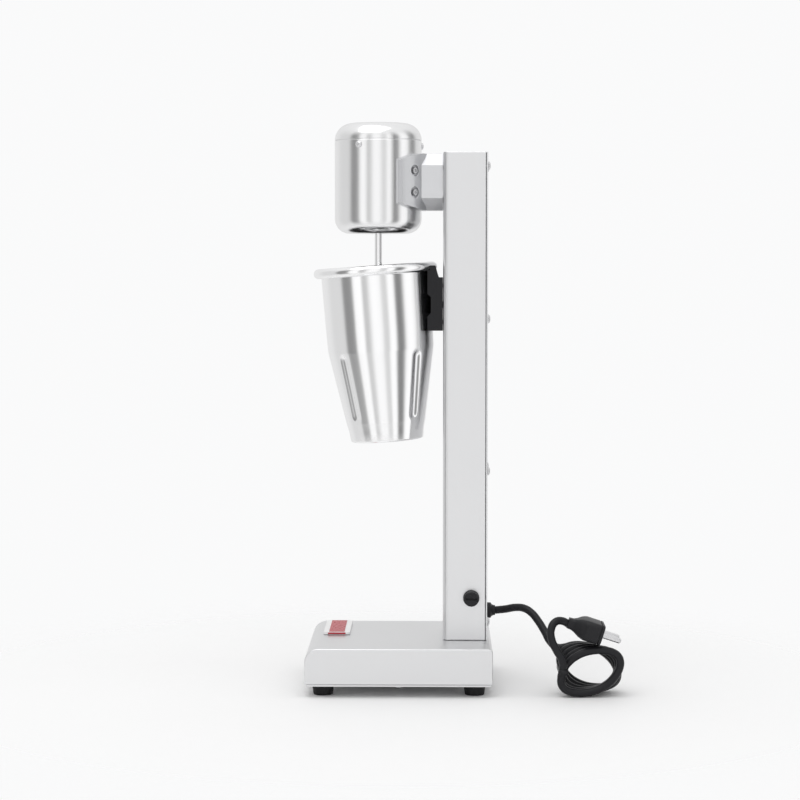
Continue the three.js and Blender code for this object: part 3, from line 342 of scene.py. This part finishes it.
def add_camera():
    """Level with the motor and far off, from the side with the fuse."""
    data = bpy.data.cameras.new("camera")
    camera = bpy.data.objects.new("camera", data)
    bpy.context.collection.objects.link(camera)
    camera.location = (2.043, 0.0322, 0.3749)
    camera.rotation_euler = (math.radians(90 - 3.348), 0, math.radians(90 + 0.9))
    data.lens = 102.49
    data.sensor_width = 36
    bpy.context.scene.camera = camera


# Brightness round the horizon, as (degrees from +X towards +Y, strength): a studio of
# white walls with grey and dark strips between them.
STUDIO = [
    (-180, 0.80), (-132, 0.84), (-112, 0.76), (-82, 0.74), (-70, 0.30), (-56, 0.34), (-46, 1.08),
    (-34, 1.12), (-26, 0.62), (-16, 0.86), (-6, 1.10), (5, 1.06), (18, 0.72), (28, 1.12),
    (36, 1.04), (46, 0.24), (58, 0.66), (70, 1.12), (84, 1.0), (104, 0.30), (124, 0.78), (180, 0.80),
]
FLAT_LIGHT = 0.93


def add_world():
    """White light from above and below, strips near the horizon, and white where the camera looks."""
    world = bpy.data.worlds.new("studio")
    bpy.context.scene.world = world
    world.use_nodes = True
    tree = world.node_tree
    new, link = tree.nodes.new, tree.links.new
    where = new("ShaderNodeTexCoord")
    axes = new("ShaderNodeSeparateXYZ")
    link(where.outputs["Generated"], axes.inputs["Vector"])
    angle = new("ShaderNodeMath")
    angle.operation = "ARCTAN2"
    link(axes.outputs["Y"], angle.inputs[0])
    link(axes.outputs["X"], angle.inputs[1])
    share = new("ShaderNodeMapRange")
    share.inputs["From Min"].default_value = -math.pi
    share.inputs["From Max"].default_value = math.pi
    link(angle.outputs["Value"], share.inputs["Value"])
    strips = new("ShaderNodeFloatCurve")
    curve = strips.mapping.curves[0]
    curve.points[0].location = (0, STUDIO[0][1] / 2)
    curve.points[1].location = (1, STUDIO[-1][1] / 2)
    for degrees, strength in STUDIO[1:-1]:
        curve.points.new((degrees + 180) / 360, strength / 2)
    strips.mapping.update()
    link(share.outputs["Result"], strips.inputs["Value"])
    doubled = new("ShaderNodeMath")
    doubled.operation = "MULTIPLY"
    doubled.inputs[1].default_value = 2
    link(strips.outputs["Value"], doubled.inputs[0])
    steep = new("ShaderNodeMath")
    steep.operation = "ABSOLUTE"
    link(axes.outputs["Z"], steep.inputs[0])
    near_horizon = new("ShaderNodeMapRange")
    near_horizon.inputs["From Min"].default_value = 0.35
    near_horizon.inputs["From Max"].default_value = 0.75
    link(steep.outputs["Value"], near_horizon.inputs["Value"])
    level = new("ShaderNodeMix")
    level.inputs["B"].default_value = FLAT_LIGHT
    link(near_horizon.outputs["Result"], level.inputs["Factor"])
    link(doubled.outputs["Value"], level.inputs["A"])
    lit = tree.nodes["Background"]
    link(level.outputs["Result"], lit.inputs["Strength"])
    lit.inputs["Color"].default_value = (1, 1, 1, 1)
    seen = new("ShaderNodeBackground")
    seen.inputs["Color"].default_value = (0.955, 0.957, 0.96, 1)
    path = new("ShaderNodeLightPath")
    mix = new("ShaderNodeMixShader")
    link(path.outputs["Is Camera Ray"], mix.inputs["Fac"])
    link(lit.outputs["Background"], mix.inputs[1])
    link(seen.outputs["Background"], mix.inputs[2])
    link(mix.outputs["Shader"], tree.nodes["World Output"].inputs["Surface"])


def add_lamp(name, place, target, size, power):
    data = bpy.data.lights.new(name, "AREA")
    data.size = size
    data.energy = power
    lamp = bpy.data.objects.new(name, data)
    lamp.location = place
    lamp.rotation_euler = (Vector(target) - Vector(place)).to_track_quat("-Z", "Y").to_euler()
    bpy.context.collection.objects.link(lamp)


def add_floor():
    """A white floor that fades out, so that only the contact shadow shows."""
    bm = bmesh.new()
    bmesh.ops.create_grid(bm, x_segments=1, y_segments=1, size=0.75)
    floor = mesh_object("floor", bm, bpy.data.materials.new("floor_white"))
    material = floor.data.materials[0]
    material.use_nodes = True
    tree = material.node_tree
    new, link = tree.nodes.new, tree.links.new
    shader = tree.nodes["Principled BSDF"]
    shader.inputs["Base Color"].default_value = (0.9, 0.9, 0.9, 1)
    shader.inputs["Roughness"].default_value = 0.7
    where = new("ShaderNodeTexCoord")
    distance = new("ShaderNodeVectorMath")
    distance.operation = "LENGTH"
    link(where.outputs["Object"], distance.inputs[0])
    fade = new("ShaderNodeMapRange")
    fade.interpolation_type = "SMOOTHSTEP"
    fade.inputs["From Min"].default_value = 0.16
    fade.inputs["From Max"].default_value = 0.55
    link(distance.outputs["Value"], fade.inputs["Value"])
    clear = new("ShaderNodeBsdfTransparent")
    mix = new("ShaderNodeMixShader")
    link(fade.outputs["Result"], mix.inputs["Fac"])
    link(shader.outputs["BSDF"], mix.inputs[1])
    link(clear.outputs["BSDF"], mix.inputs[2])
    link(mix.outputs["Shader"], tree.nodes["Material Output"].inputs["Surface"])


# ---------------------------------------------------------------- mains lead

# The uncoiled stretch: out of the gland, over a low hump and down to the hank.
CORD_ROUTE = [
    (0, 86.3, 65.5),
    (3, 95.3, 66.9),
    (8, 103.8, 69.1),
    (13, 111.3, 69.2),
    (18, 117.8, 66),
    (23.5, 123.8, 59.3),
    (30, 129.3, 51),
    (37, 134.3, 42.6),
    (40, 139.7, 38.4),
]


def hank_turns():
    """The centreline of the tied turns, each an oval lying a cord's width beside the last."""
    low, high = millimetres("cord_hank")
    middle_y, middle_z = (low[1] + high[1]) / 2, (low[2] + high[2]) / 2
    radius = (high[2] - low[2]) / 2 - CORD_RADIUS - 0.1
    start_x = low[0] + CORD_RADIUS + 2
    points = []
    for k in range(int(HANK_TURNS * HANK_STEPS) + 1):
        turn = k / HANK_STEPS
        angle = HANK_START - 2 * math.pi * turn
        lean = -HANK_LEAN * math.cos(HANK_SWAY * turn)
        y = radius * math.cos(angle) + HANK_STRAIGHT / 2 * math.tanh(1.6 * math.cos(angle))
        z = radius * math.sin(angle)
        points.append((start_x + HANK_PITCH * turn, middle_y + y + lean * z, middle_z + z))
    return points


def cord_end():
    """The last rise, from the nearest turn in a wide bow over to the neck of the plug."""
    low, high = millimetres("plug")
    neck = ((low[0] + high[0]) / 2, low[1] + 1.4, PLUG_NECK_Z)
    bow = [
        (14.5, -5.5, -31),
        (13.3, -10.5, -22),
        (10.8, -14.8, -13),
        (7.0, -15.4, -4),
        (3.2, -11.2, 2.3),
        (0.8, -5.2, 2.6),
    ]
    return [(neck[0] + x, neck[1] + y, neck[2] + z) for x, y, z in bow] + [neck]


def add_cord():
    points = CORD_ROUTE + hank_turns() + cord_end()
    data = bpy.data.curves.new("mains_lead", "CURVE")
    data.dimensions = "3D"
    data.bevel_depth = CORD_RADIUS * MM
    data.bevel_resolution = 6
    data.resolution_u = 8
    data.use_fill_caps = True
    spline = data.splines.new("BEZIER")
    spline.bezier_points.add(len(points) - 1)
    for knot, point in zip(spline.bezier_points, points):
        knot.co = [c * MM for c in point]
        knot.handle_left_type = knot.handle_right_type = "AUTO"
    data.materials.append(CORD_BLACK)
    lead = bpy.data.objects.new("mains_lead", data)
    bpy.context.collection.objects.link(lead)
    in_place(lead, "frame", "black_rubber", "power_cord", "cord_hank")
    length = sum(math.dist(a, b) for a, b in zip(points, points[1:]))
    return lead, round(length * MM, 3)


def add_tie():
    """A strap round the turns where they rise beside each other."""
    low, high = millimetres("cord_hank")
    middle_z = (low[2] + high[2]) / 2
    near_y = low[1] + 0.6
    outline = rounded(low[0] + 1.2, high[0] - 0.2, near_y, near_y + 2 * CORD_RADIUS + 0.4, 3.6)
    bm = slab(outline, middle_z - 2.2, middle_z + 2.2, "Z")
    caps = [face for face in bm.faces if len(face.verts) > 4]
    bmesh.ops.delete(bm, geom=caps, context="FACES_ONLY")
    strap = mesh_object("lead_tie", bm, PLASTIC)
    wall = strap.modifiers.new("wall", "SOLIDIFY")
    wall.thickness = 0.0011
    wall.offset = 0
    return in_place(strap, "frame", "black_plastic")


def add_plug():
    """The moulded plug with its collar and two bright pins."""
    low, high = millimetres("plug")
    middle = Vector(((low[0] + high[0]) / 2, PLUG_MIDDLE_Y, (low[2] + high[2]) / 2 + 1.9))
    sloped = Matrix.Translation(middle * MM) @ Matrix.Rotation(math.radians(-PLUG_SLOPE), 4, "X")
    wide, tall, half = PLUG_SIZE[0] / 2, PLUG_SIZE[2] / 2, PLUG_SIZE[1] / 2
    stations = [
        (-half - 6, 5.2, 4.6),
        (-half - 2, 5.6, 4.9),
        (-half + 1, 7.5, 6.0),
        (-half + 5, 13.0, 8.0),
        (-half + 8, wide - 1.2, tall - 0.3),
        (-half + 10, wide, tall),
        (half - 3.4, wide, tall),
        (half - 3.2, wide - 0.8, tall - 0.8),
        (half - 2.6, wide - 0.8, tall - 0.8),
        (half - 2.4, wide, tall),
        (half - 0.5, wide, tall),
        (half, wide - 0.6, tall - 0.6),
    ]
    bm = bmesh.new()
    rows = []
    for along, x_half, z_half in stations:
        ring = rounded(-x_half, x_half, -z_half, z_half, 0.55 * z_half, 5)
        rows.append([bm.verts.new((x * MM, along * MM, z * MM)) for x, z in ring])
    for back, front in zip(rows, rows[1:]):
        for k in range(len(back)):
            n = (k + 1) % len(back)
            bm.faces.new([back[k], back[n], front[n], front[k]])
    bm.faces.new(rows[0])
    bm.faces.new(rows[-1])
    bmesh.ops.transform(bm, matrix=sloped, verts=bm.verts)
    body = in_place(mesh_object("plug_body", bm, PLASTIC, 30), "frame", "black_plastic", "plug")
    parts = [body]
    for side in (-1, 1):
        at = sloped @ Matrix.Translation((side * PLUG_PITCH / 2 * MM, half * MM, 0))
        at = at @ Matrix.Rotation(math.radians(-90), 4, "X")
        profile = [(2.4, -1), (2.4, 15.4), (1.9, 16.6), (1.0, 17), (0, 17)]
        pin = mesh_object(f"plug_pin_{(side + 3) // 2}", lathe(profile, 32, at), SCREW)
        parts.append(in_place(pin, "frame", "screw_steel"))
    return parts


add_camera()
add_world()
add_lamp("top_light", (0.5, -0.3, 1.9), (0, 0, 0.1), 1.4, 9)
add_floor()
finish_cad_nodes()
lead, lead_length = add_cord()
plug = add_plug()
tie = add_tie()


# ---------------------------------------------------------------- base


def add_base():
    low, high = millimetres("base_shell")
    y0, y1, z0, z1 = low[1], high[1], low[2], high[2]
    outline = [
        (y0, z0),
        (y1, z0),
        *arc(y1 - REAR_FOLD, z1 - REAR_FOLD, REAR_FOLD, 0, 90, 6),
        *arc(y0 + FRONT_FOLD, z1 - FRONT_FOLD, FRONT_FOLD, 90, 180, 14),
    ]
    shell = mesh_object("base_skin", slab(outline, low[0], high[0], "X"), SHEET, 25)
    bevelled(shell, 1.0)
    in_place(shell, "frame", "brushed_steel", "base_shell")


def add_feet():
    for place in ("front_left", "front_right", "rear_left", "rear_right"):
        low, high = millimetres("foot_" + place)
        radius = (high[0] - low[0]) / 2
        profile = [
            (0, 4.0),
            (4.6, 4.0),
            (4.9, 0.4),
            *arc(7.7, 0.9, 0.9, -90, 0, 4),
            *arc(radius - 1, high[2] - 1, 1, 0, 90, 4),
            (0, high[2]),
        ]
        where = Matrix.Translation(
            ((low[0] + high[0]) / 2 * MM, (low[1] + high[1]) / 2 * MM, 0)
        )
        foot = mesh_object("foot_rubber_" + place, lathe(profile, 48, where), RUBBER)
        in_place(foot, "frame", "black_rubber", "foot_" + place)


def add_badge():
    low, high = millimetres("badge_plate")
    plate = mesh_object(
        "badge_border",
        slab(rounded(low[0], high[0], low[1], high[1], 2), low[2], high[2] - 0.2, "Z"),
        WHITE_ENAMEL,
    )
    bevelled(plate, 0.35)
    in_place(plate, "frame", "badge_red", "badge_plate")
    panel = mesh_object(
        "badge_panel",
        slab(
            rounded(low[0] + 2, high[0] - 2, low[1] + 5, high[1] - 5, 1), high[2] - 0.4, high[2], "Z"
        ),
        RED_ENAMEL,
    )
    in_place(panel, "frame", "badge_red")
    side = mesh_object(
        "badge_edge",
        slab(
            rounded(low[0] + 3, high[0] + 0.25, low[1] + 4, high[1] - 4, 0.4, 2),
            low[2] + 0.5,
            high[2] - 0.6,
            "Z",
        ),
        RED_ENAMEL,
    )
    in_place(side, "frame", "badge_red")


# ---------------------------------------------------------------- column


def add_column():
    low, high = millimetres("column_shell")
    outline = [
        (high[0], high[1]),
        (low[0], high[1]),
        *arc(low[0] + COLUMN_FOLD, low[1] + COLUMN_FOLD, COLUMN_FOLD, 180, 270, 10),
        *arc(high[0] - COLUMN_FOLD, low[1] + COLUMN_FOLD, COLUMN_FOLD, 270, 360, 10),
    ]
    shell = mesh_object("column_skin", slab(outline, low[2], high[2], "Z"), SHEET, 25)
    bevelled(shell, 0.8)
    in_place(shell, "frame", "brushed_steel", "column_shell")
    low, high = millimetres("column_rear_cover")
    corners = [(low[0], low[2]), (high[0], low[2]), (high[0], high[2]), (low[0], high[2])]
    cover = mesh_object("rear_cover_skin", slab(corners, low[1], high[1], "Y"), SHEET)
    bevelled(cover, 0.35, 2)
    in_place(cover, "frame", "brushed_steel", "column_rear_cover")


def pan_head(name, node, axis):
    """A domed screw head with a socket, standing for a screw; axis points outward."""
    low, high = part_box(node)
    axis = Vector(axis).normalized()
    centre = (low + high) / 2
    reach = max(abs((c - centre).dot(axis)) for c in (low, high))
    spread = min(high[i] - low[i] for i in range(3) if abs(axis[i]) < 0.5) / 2 / MM
    height = min(2.2, 0.6 * spread)
    dome = [
        (spread * math.cos(a), height * math.sin(a) ** 0.8)
        for a in [math.radians(t) for t in (0, 15, 30, 45, 60, 68)]
    ]
    inner = 0.42 * spread
    profile = [(spread * 0.5, -3), (spread * 0.55, -0.2), (spread, 0), *dome[1:]]
    profile += [(inner, dome[-1][1]), (inner * 0.96, 0.2), (0, 0.1)]
    turn = Vector((0, 0, 1)).rotation_difference(axis).to_matrix().to_4x4()
    base = centre + axis * (reach - height * MM)
    head = mesh_object(name, lathe(profile, 36, Matrix.Translation(base) @ turn), SCREW)
    in_place(head, "frame", "screw_steel", node)


def add_screws():
    for row in range(1, 5):
        for side in ("left", "right"):
            pan_head(f"cover_head_{row}_{side}", f"cover_screw_{row}_{side}", (0, 1, 0))


# ---------------------------------------------------------------- motor head


def add_motor():
    low, high = millimetres("motor_housing")
    axis_y = (low[1] + high[1]) / 2
    radius = (high[0] - low[0]) / 2
    bottom, seam = low[2], high[2]
    top = millimetres("motor_cap")[1][2]
    where = Matrix.Translation((0, axis_y * MM, 0))
    body = [
        (5.2, bottom + 1.2),
        (5.2, bottom),
        *arc(radius - MOTOR_BOTTOM_ROUND, bottom + MOTOR_BOTTOM_ROUND, MOTOR_BOTTOM_ROUND, -90, 0, 16),
        (radius, seam - 0.5),
        (radius - 0.4, seam),
        (radius - 1.6, seam),
    ]
    housing = mesh_object("motor_skin", lathe(body, 160, where), TURNED)
    in_place(housing, "frame", "satin_steel", "motor_housing")
    lower = seam + 0.3
    cap = [
        (radius - 2.2, lower - 8),
        (radius - 1.9, lower - 8),
        (radius - 1.9, lower),
        (radius - 0.4, lower),
        (radius, lower + 0.4),
        *arc(radius - CAP_ROUND, top - CAP_ROUND, CAP_ROUND, 2, 90, 16),
        (0, top),
    ]
    lid = mesh_object("motor_lid", lathe(cap, 160, where), TURNED)
    in_place(lid, "frame", "satin_steel", "motor_cap")
    for index, degrees in enumerate(CAP_SCREW_ANGLES):
        angle = math.radians(degrees)
        node = f"cap_screw_{index + 1}"
        low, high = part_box(node)
        height = (low.z + high.z) / 2
        outward = Vector((math.cos(angle), math.sin(angle), 0))
        seat = Vector((0, axis_y * MM, height)) + outward * (radius + 0.2) * MM
        turn = Vector((0, 0, 1)).rotation_difference(outward).to_matrix().to_4x4()
        profile = [(2, -1), (3, 0), (2.9, 0.6), (2.3, 1.2), (1.2, 1.55), (1.1, 0.6), (0, 0.5)]
        dome = lathe(profile, 32, Matrix.Translation(seat) @ turn)
        head = mesh_object(f"cap_head_{index + 1}", dome, SCREW)
        in_place(head, "frame", "screw_steel", node)


def add_bracket():
    cast = refined("motor_bracket", CAST, 0.5, 40)
    in_place(cast, "frame", "cast_aluminium", "motor_bracket")


def add_spindle():
    low, high = millimetres("spindle")
    axis_y = (low[1] + high[1]) / 2
    radius = (high[0] - low[0]) / 2
    where = Matrix.Translation((0, axis_y * MM, 0))
    shoulder = high[2] - SPINDLE_THREAD
    rod = [
        (0, low[2]),
        (radius - 0.4, low[2]),
        (radius, low[2] + 0.4),
        (radius, shoulder),
        (SPINDLE_THREAD_RADIUS, shoulder),
        (SPINDLE_THREAD_RADIUS, high[2]),
        (0, high[2]),
    ]
    spindle = mesh_object("spindle_rod", lathe(rod, 48, where), POLISHED)
    in_place(spindle, "rotor", "polished_steel", "spindle")
    disc = refined("agitator", POLISHED, 0.25, 40)
    in_place(disc, "rotor", "polished_steel", "agitator")


# ---------------------------------------------------------------- cup


def flute(angle, height):
    """How far the cup's wall is pressed in at a place, in millimetres."""
    if not FLUTE_BOTTOM < height < FLUTE_TOP:
        return 0
    middle, half = (FLUTE_BOTTOM + FLUTE_TOP) / 2, (FLUTE_TOP - FLUTE_BOTTOM) / 2
    radius = 36 + 12 * (height - FLUTE_BOTTOM) / (FLUTE_TOP - FLUTE_BOTTOM)
    along = abs(height - middle)
    straight = half - FLUTE_HALF_WIDTH
    over = max(0, along - straight) / FLUTE_HALF_WIDTH
    depth = 0
    for centre in FLUTE_ANGLES:
        away = math.remainder(angle - centre, 2 * math.pi) * radius / FLUTE_HALF_WIDTH
        reach = math.hypot(away, over)
        if reach < 1:
            depth = FLUTE_DEPTH * (0.5 + 0.5 * math.cos(math.pi * reach))
    return depth


def add_cup():
    """The malt cup: foot, heel, fluted cone, neck and rolled rim, outside and in."""
    wider = (BREAK_RADIUS - HEEL_RADIUS) / CUP_ROWS
    taller = (BREAK_HEIGHT - HEEL_HEIGHT) / CUP_ROWS
    cone = [(HEEL_RADIUS + wider * k, HEEL_HEIGHT + taller * k) for k in range(CUP_ROWS + 1)]
    roll = arc(RIM_RADIUS - 4, CUP_HEIGHT - RIM_ROLL, RIM_ROLL, -100, 90, 14)
    outer = [
        (0, 0.8),
        (FOOT_RADIUS - 6, 0.8),
        (FOOT_RADIUS - 4, 0),
        *arc(FOOT_RADIUS - 1.5, 2.2, 2.2, -90, -12, 5),
        (FOOT_RADIUS + 1.6, 9),
        *cone,
        (BREAK_RADIUS + 0.5, 100),
        (NECK_RADIUS - 0.3, 130),
        (NECK_RADIUS, CUP_HEIGHT - 9),
        *roll[2:],
        (NECK_RADIUS + 0.8, CUP_HEIGHT - 1.2),
        (NECK_RADIUS - CUP_WALL, CUP_HEIGHT - 5),
    ]
    inner = [
        (NECK_RADIUS - CUP_WALL, CUP_HEIGHT - 9),
        (BREAK_RADIUS - CUP_WALL + 0.5, 100),
        *[(radius - CUP_WALL, height) for radius, height in reversed(cone)],
        (FOOT_RADIUS + 0.5, 9),
        (FOOT_RADIUS - 2, 2.2),
        (0, 1.8),
    ]
    place = Matrix.Translation(Vector(CUP_PLACE) * MM) @ Matrix.Rotation(CUP_TILT, 4, "X")
    bm = lathe([*outer, *inner], 192, place, flute)
    cup = mesh_object("cup_skin", bm, POLISHED, 50)
    in_place(cup, "cup", "polished_steel", "cup")


# ---------------------------------------------------------------- holder, fuse, gland


def add_holder():
    holder = refined("cup_holder", PLASTIC, 0.5, 40)
    in_place(holder, "frame", "black_plastic", "cup_holder")


def add_fuse():
    low, high = millimetres("fuse_holder")
    flange = (high[2] - low[2]) / 2
    centre = [(low[1] + high[1]) / 2, (low[2] + high[2]) / 2]
    where = Matrix.Translation((0, centre[0] * MM, centre[1] * MM)) @ Matrix.Rotation(
        math.radians(90), 4, "Y"
    )
    seat = millimetres("column_shell")[1][0] + 0.3
    ring = [
        (flange - 2, high[0] - 20),
        (flange - 1.2, seat),
        (flange, seat),
        (flange, high[0] - 0.6),
        (flange - 0.6, high[0]),
        (flange - 2.2, high[0]),
        (flange - 2.4, high[0] - 1),
    ]
    collar = mesh_object("fuse_ring", lathe(ring, 64, where), PLASTIC)
    in_place(collar, "frame", "black_plastic", "fuse_holder")
    cap = refined("fuse_cap", PLASTIC, 0.4, 40)
    in_place(cap, "fuse_knob", "black_plastic", "fuse_cap")


def add_gland():
    low, high = millimetres("cable_gland")
    radius = (high[0] - low[0]) / 2
    where = Matrix.Translation((0, 0, (low[2] + high[2]) / 2 * MM)) @ Matrix.Rotation(
        math.radians(-90), 4, "X"
    )
    end = high[1]
    profile = [
        (5.8, end - 12),
        (5.8, end - 7.4),
        (radius, end - 7.4),
        (radius, end - 4.3),
        (radius - 0.9, end - 3.5),
        (5.3, end - 3.2),
        (5.0, end - 2.2),
        (4.6, end - 1.9),
        (4.5, end - 0.3),
        (4.2, end),
        (3.5, end),
    ]
    gland = mesh_object("gland_sleeve", lathe(profile, 64, where), PLASTIC)
    in_place(gland, "frame", "black_plastic", "cable_gland")


add_base()
add_feet()
add_badge()
add_column()
add_screws()
add_motor()
add_bracket()
add_spindle()
add_cup()
add_holder()
add_fuse()
add_gland()

scene = bpy.context.scene
scene.view_settings.view_transform = "Standard"
scene.view_settings.look = "None"
